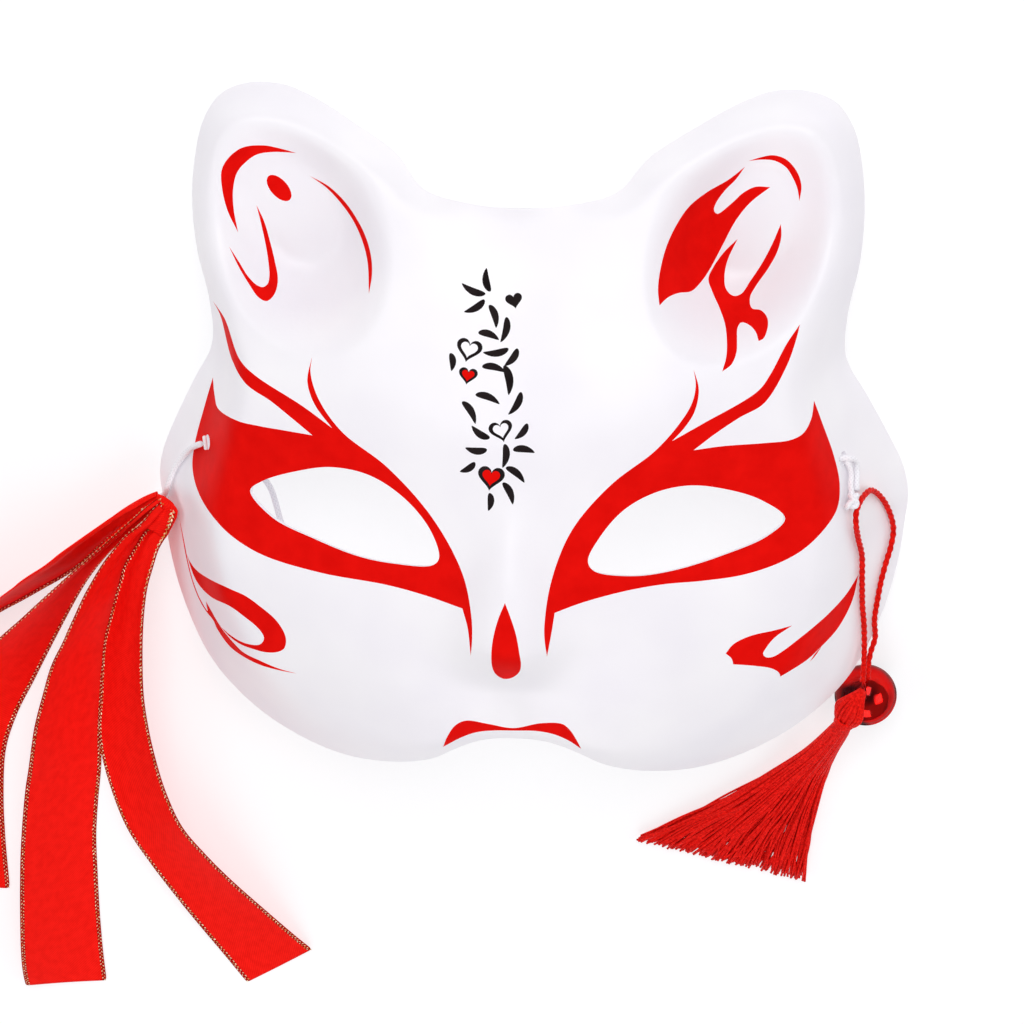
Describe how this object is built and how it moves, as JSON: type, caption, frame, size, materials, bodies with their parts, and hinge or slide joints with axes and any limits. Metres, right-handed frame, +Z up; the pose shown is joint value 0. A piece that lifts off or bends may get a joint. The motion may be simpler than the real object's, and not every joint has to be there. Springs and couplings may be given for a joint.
{
  "type": "fox half-face mask",
  "caption": "Moulded half-face fox mask with ears and eye openings, tied ribbons on its elastic, and a jingle bell with a tassel at the temple.",
  "frame": {"origin": "on the floor under the middle of the lying shell's bounding box", "axes": "+Z up out of the face, +Y towards the ears, +X to the right of a viewer who faces the mask"},
  "size_m": [0.2798, 0.2547, 0.0649],
  "materials": {
    "shell_plastic": "matte white with printed red brush strokes",
    "elastic": "braided white elastic",
    "bar_plastic": "white moulded",
    "satin_ribbon": "red satin with gold thread at the edges",
    "tassel_thread": "red twisted rayon thread",
    "red_metal": "glossy red lacquer"
  },
  "bodies": {
    "root": {"mask_shell": "shell_plastic", "strap_cord": "elastic", "strap_bar": "bar_plastic", "strap_knot": "elastic", "ribbon_bunch": "satin_ribbon", "ribbon_tail_1": "satin_ribbon", "ribbon_tail_2": "satin_ribbon", "ribbon_tail_3": "satin_ribbon", "ribbon_tail_4": "satin_ribbon", "tassel_cord": "tassel_thread", "jingle_bell": "red_metal", "tassel_head": "tassel_thread", "tassel_skirt": "tassel_thread"}
  },
  "joints": []
}
